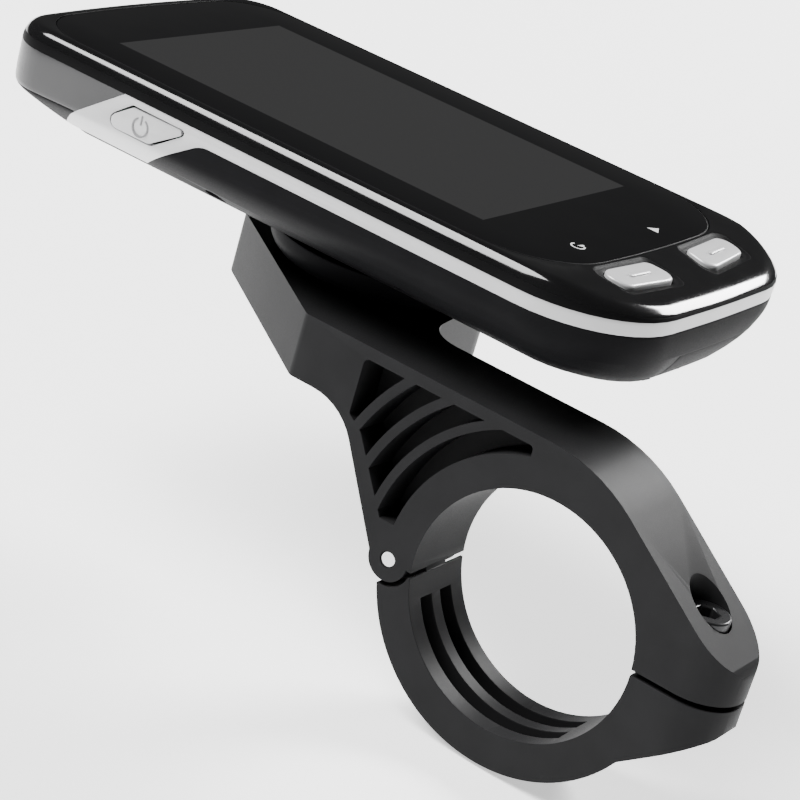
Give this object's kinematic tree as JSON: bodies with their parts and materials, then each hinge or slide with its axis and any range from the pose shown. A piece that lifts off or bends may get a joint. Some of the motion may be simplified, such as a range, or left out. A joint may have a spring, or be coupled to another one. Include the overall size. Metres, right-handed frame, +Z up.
{
  "type": "cycling computer",
  "caption": "Bicycle computer with a large touch display, front keys and a side power button, twist-locked onto a one-armed out-front mount with a hinged handlebar clamp.",
  "frame": {"origin": "handlebar axis at the middle of the clamp's width", "axes": "+X along the handlebar bore, towards the side the computer is on; +Y ahead of the bar, towards the computer's far end; +Z up, square to the screen"},
  "size_m": [0.0583, 0.1374, 0.0688],
  "materials": {
    "arm_black": "fine moulded grain",
    "mount_black": "smooth moulded, semi-matt",
    "case_black": "satin to gloss",
    "gloss_black": "high gloss",
    "nose_grey": "semi-gloss",
    "silver": "satin silver lacquer",
    "key_silver": "satin silver lacquer",
    "lens": "polished",
    "film": "clear film",
    "display": "switched off, even dark grey",
    "frame_metal": "as pressed",
    "seal": "matt",
    "board": "solder resist",
    "cell": "foil pouch",
    "ceramic": "fired ceramic",
    "membrane": "matt film",
    "steel": "bright",
    "screw_black": "black oxide",
    "brass": "machined"
  },
  "bodies": {
    "root": {"clamp_arm": "arm_black", "hinge_pin": "steel", "receptacle": "mount_black", "receptacle_screws": "steel"},
    "strap": {"clamp_strap": "arm_black", "screw_insert": "brass"},
    "clamp_screw": {"clamp_screw": "screw_black", "screw_washer": "steel"},
    "power_button": {"power_button": "silver"},
    "lap_key": {"lap_key": "key_silver"},
    "start_key": {"start_key": "key_silver"},
    "port_cover": {"port_cover": "seal"},
    "device": {"quarter_turn_foot": "mount_black", "rear_housing": "case_black", "side_band": "silver", "nose_cover": "nose_grey", "front_bezel": "gloss_black", "cover_glass": "lens", "touch_sensor": "film", "display_panel": "display", "display_frame": "frame_metal", "sealing_gasket": "seal", "main_board": "board", "port_board": "board", "battery": "cell", "gps_antenna": "ceramic", "buzzer": "case_black", "usb_connector": "steel", "card_socket": "steel", "power_switch": "case_black", "key_board": "board", "key_switches": "steel", "vent_membrane": "membrane", "housing_screws": "steel"}
  },
  "joints": [
    {"name": "twist_lock", "type": "hinge", "parent": "root", "child": "device", "pos_m": [0.02, 0.05075, 0.0258], "axis": [0, 0, 1], "range_deg": [0, 90]},
    {"name": "strap_hinge", "type": "hinge", "parent": "root", "child": "strap", "pos_m": [0, 0.0215, -0.0023], "axis": [1, 0, 0], "range_deg": [0, 70]},
    {"name": "screw_travel", "type": "slide", "parent": "root", "child": "clamp_screw", "axis": [0, 0, 1], "range_m": [0, 0.0202]},
    {"name": "power_press", "type": "slide", "parent": "device", "child": "power_button", "axis": [1, 0, 0], "range_m": [0, 0.0004], "stiffness_N_per_m": 2500, "springref_m": -0.0002},
    {"name": "lap_press", "type": "slide", "parent": "device", "child": "lap_key", "axis": [0, 0, -1], "range_m": [0, 0.0005], "stiffness_N_per_m": 2500, "springref_m": -0.0002},
    {"name": "start_press", "type": "slide", "parent": "device", "child": "start_key", "axis": [0, 0, -1], "range_m": [0, 0.0005], "stiffness_N_per_m": 2500, "springref_m": -0.0002},
    {"name": "port_cover_hinge", "type": "hinge", "parent": "device", "child": "port_cover", "pos_m": [0.0252, 0.0042, 0.0296], "axis": [1, 0, 0], "range_deg": [0, 100], "stiffness_Nm_per_rad": 0.002}
  ],
  "couplings": [
    {"joint": "screw_travel", "follows": "strap_hinge", "m_per_rad": 0.0164}
  ]
}
